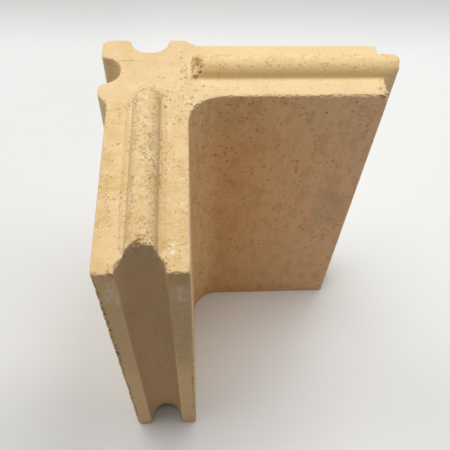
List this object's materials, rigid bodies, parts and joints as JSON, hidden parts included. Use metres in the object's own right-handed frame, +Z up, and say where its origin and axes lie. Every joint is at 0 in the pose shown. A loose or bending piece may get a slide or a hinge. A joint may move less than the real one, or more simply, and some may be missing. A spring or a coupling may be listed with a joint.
{
  "type": "interlocking corner firebrick",
  "caption": "L-shaped interlocking firebrick that turns the corner of a furnace or stove lining, with a bed rib, tongue and grooves.",
  "frame": {"origin": "middle of the bounding box in plan, on the floor that the lower bed rests on", "axes": "+Z up to the ribbed bed; +X along leg B out to its tongue; -Y along leg A out to its grooved end; the thickened outer corner is at low X and high Y"},
  "size_m": [0.25, 0.238, 0.3375],
  "materials": {
    "fireclay": "matt, fired, finely pored"
  },
  "bodies": {
    "root": {"corner_firebrick": "fireclay"}
  },
  "joints": []
}
